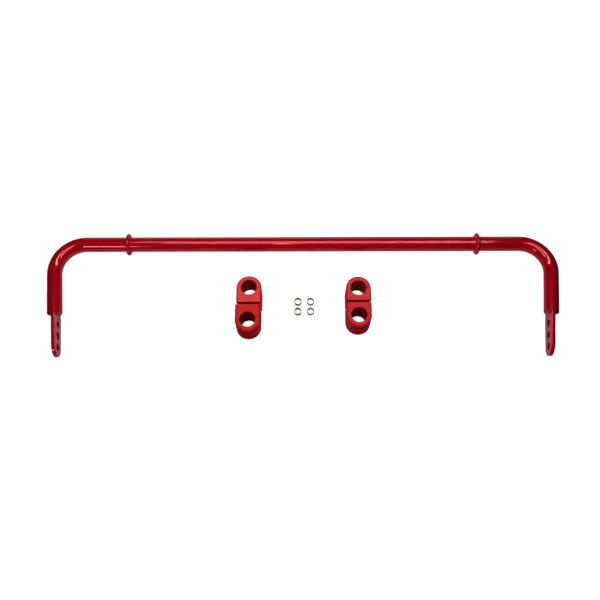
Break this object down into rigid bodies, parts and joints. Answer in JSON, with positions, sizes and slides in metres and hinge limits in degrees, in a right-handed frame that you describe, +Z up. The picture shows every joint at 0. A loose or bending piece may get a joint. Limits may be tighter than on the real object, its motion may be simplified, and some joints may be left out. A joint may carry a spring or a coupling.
{
  "type": "sway bar kit",
  "caption": "U-shaped tubular sway bar with ring locks and drilled end blades, laid out with its split mounting bushes and reducer sleeves.",
  "frame": {"origin": "centre of the kit's bounding box, on the surface that it lies on", "axes": "+X along the straight tube, to the right as seen from the arm ends; +Y from the arm ends towards the straight tube; +Z up from the surface, along the bores of the standing bushes"},
  "size_m": [0.8802, 0.2236, 0.046],
  "materials": {
    "red_powder_coat": "gloss red powder coat over steel",
    "red_urethane": "satin moulded red polyurethane",
    "yellow_zinc": "bright yellow zinc plated steel"
  },
  "bodies": {
    "bar": {"bar_tube": "red_powder_coat", "ring_lock_left": "red_powder_coat", "ring_lock_right": "red_powder_coat", "end_blade_left": "red_powder_coat", "end_blade_right": "red_powder_coat", "blade_weld_left": "red_powder_coat", "blade_weld_right": "red_powder_coat"},
    "short_bush_front_body": {"short_bush_front": "red_urethane"},
    "short_bush_rear_body": {"short_bush_rear": "red_urethane"},
    "tall_bush_front_body": {"tall_bush_front": "red_urethane"},
    "tall_bush_rear_body": {"tall_bush_rear": "red_urethane"},
    "sleeve_front_left_body": {"sleeve_front_left": "yellow_zinc"},
    "sleeve_front_right_body": {"sleeve_front_right": "yellow_zinc"},
    "sleeve_rear_left_body": {"sleeve_rear_left": "yellow_zinc"},
    "sleeve_rear_right_body": {"sleeve_rear_right": "yellow_zinc"}
  },
  "joints": [
    {"name": "short_bush_front_lift", "type": "slide", "parent": "bar", "child": "short_bush_front_body", "axis": [0, 0, 1], "range_m": [0, 0.06]},
    {"name": "short_bush_rear_lift", "type": "slide", "parent": "bar", "child": "short_bush_rear_body", "axis": [0, 0, 1], "range_m": [0, 0.06]},
    {"name": "tall_bush_front_lift", "type": "slide", "parent": "bar", "child": "tall_bush_front_body", "axis": [0, 0, 1], "range_m": [0, 0.06]},
    {"name": "tall_bush_rear_lift", "type": "slide", "parent": "bar", "child": "tall_bush_rear_body", "axis": [0, 0, 1], "range_m": [0, 0.06]},
    {"name": "sleeve_front_left_lift", "type": "slide", "parent": "bar", "child": "sleeve_front_left_body", "axis": [0, 0, 1], "range_m": [0, 0.06]},
    {"name": "sleeve_front_right_lift", "type": "slide", "parent": "bar", "child": "sleeve_front_right_body", "axis": [0, 0, 1], "range_m": [0, 0.06]},
    {"name": "sleeve_rear_left_lift", "type": "slide", "parent": "bar", "child": "sleeve_rear_left_body", "axis": [0, 0, 1], "range_m": [0, 0.06]},
    {"name": "sleeve_rear_right_lift", "type": "slide", "parent": "bar", "child": "sleeve_rear_right_body", "axis": [0, 0, 1], "range_m": [0, 0.06]}
  ]
}
